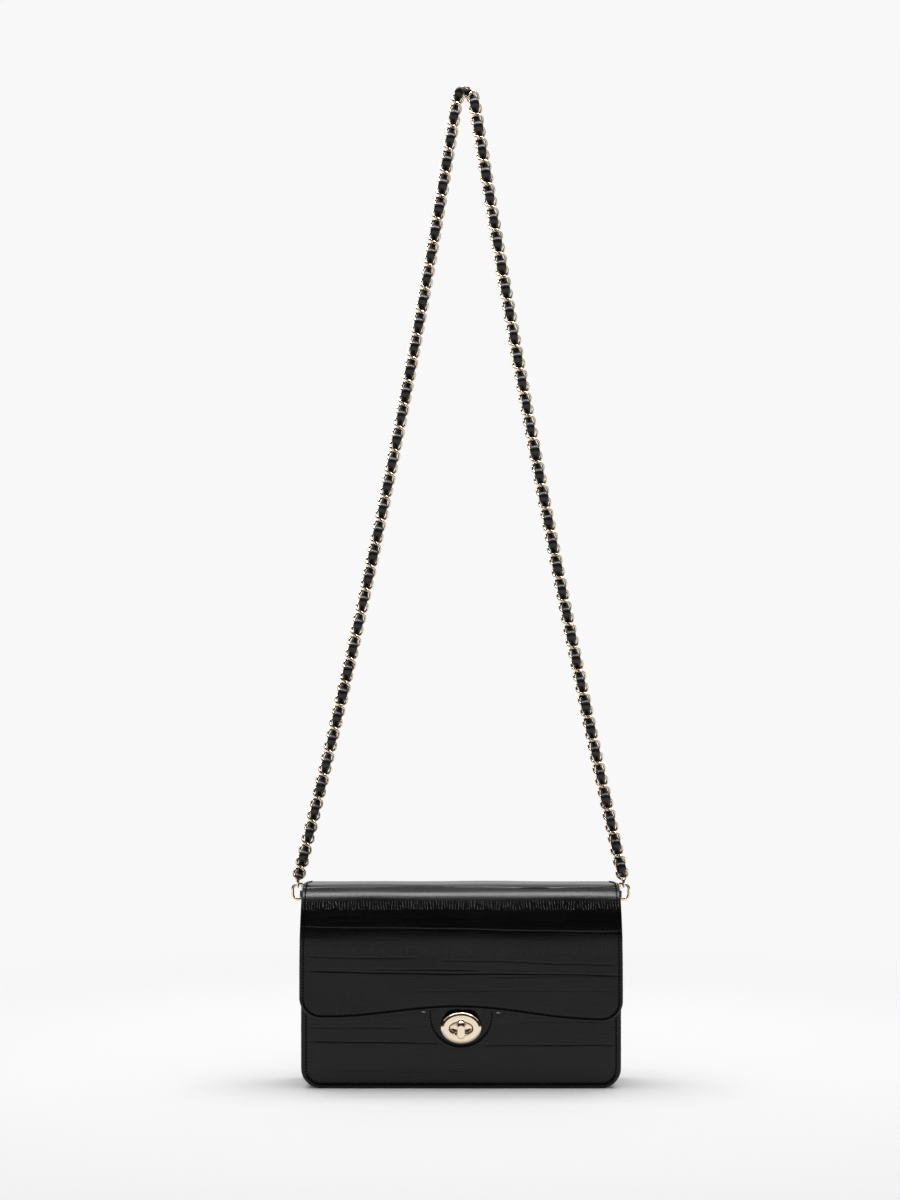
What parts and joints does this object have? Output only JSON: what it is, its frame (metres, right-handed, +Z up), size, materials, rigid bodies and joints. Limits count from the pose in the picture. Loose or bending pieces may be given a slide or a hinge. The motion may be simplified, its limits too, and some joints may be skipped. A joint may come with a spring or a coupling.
{
  "type": "chain shoulder bag",
  "caption": "Small rigid-cornered flap shoulder bag with a turn lock at the front, a lined pocket inside, and a curb chain strap woven with leather that turns on rings at the side seams.",
  "frame": {"origin": "middle of the bag's flat base, where it stands", "axes": "+Z up, the flap and turn lock face -Y, +X to the right seen from the front"},
  "size_m": [0.226, 0.0519, 0.6614],
  "materials": {
    "leather": "black, semi-gloss, finely creased",
    "lining": "black, matt",
    "hardware": "polished, pale gold",
    "board": "grey fibre board"
  },
  "bodies": {
    "bag": {"front_panel": "leather", "back_panel": "leather", "gusset": "leather", "front_lining": "lining", "back_lining": "lining", "gusset_lining": "lining", "slip_pocket": "lining", "base_board": "board", "ring_tab_left": "leather", "ring_tab_right": "leather", "d_ring_left": "hardware", "d_ring_right": "hardware", "lock_base": "hardware", "lock_backing": "hardware", "click_spring": "hardware"},
    "toggle": {"toggle_knob": "hardware", "toggle_washer": "hardware"},
    "flap_upper": {"flap_top": "leather", "flap_top_lining": "lining"},
    "flap_lower": {"flap_front": "leather", "flap_front_lining": "lining", "lock_tab": "leather", "eyelet_plate": "hardware", "eyelet_backing": "hardware"},
    "strap": {"chain_left": "hardware", "chain_right": "hardware", "lace": "leather", "end_ring_left": "hardware", "end_ring_right": "hardware"}
  },
  "joints": [
    {"name": "flap_open", "type": "hinge", "parent": "bag", "child": "flap_upper", "pos_m": [0, 0.014, 0.1315], "axis": [-1, 0, 0], "range_deg": [0, 90]},
    {"name": "flap_fold", "type": "hinge", "parent": "flap_upper", "child": "flap_lower", "pos_m": [0, -0.01858, 0.1217], "axis": [-1, 0, 0], "range_deg": [0, 85]},
    {"name": "lock_turn", "type": "hinge", "parent": "bag", "child": "toggle", "pos_m": [0, -0.024, 0.0402], "axis": [0, -1, 0], "range_deg": [0, 90]},
    {"name": "strap_swing", "type": "hinge", "parent": "bag", "child": "strap", "pos_m": [0, 0.0188, 0.129], "axis": [-1, 0, 0], "range_deg": [0, 100]}
  ]
}
